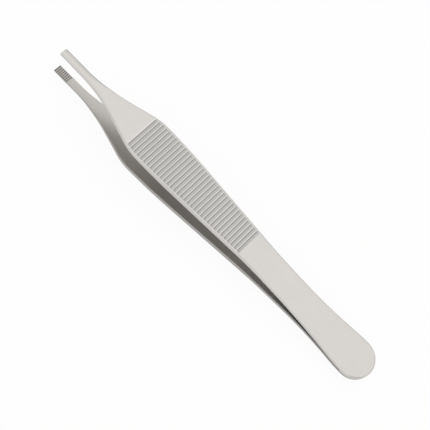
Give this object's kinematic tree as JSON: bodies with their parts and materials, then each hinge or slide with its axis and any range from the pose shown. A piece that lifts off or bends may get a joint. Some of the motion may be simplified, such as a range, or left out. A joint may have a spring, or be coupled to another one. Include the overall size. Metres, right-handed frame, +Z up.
{
  "type": "thumb forceps",
  "caption": "Spring-action thumb forceps: bowed steel arms welded at the heel, with broad ribbed grips and slim cross-toothed jaws.",
  "frame": {"origin": "middle of the footprint, on the table that the forceps lies on", "axes": "+X from the jaws towards the heel, +Y across the arms, +Z up, away from the table"},
  "size_m": [0.1201, 0.0132, 0.0123],
  "materials": {
    "satin_steel": "satin, fine blasted grain"
  },
  "bodies": {
    "root": {"upper_arm": "satin_steel", "lower_arm": "satin_steel"}
  },
  "joints": []
}
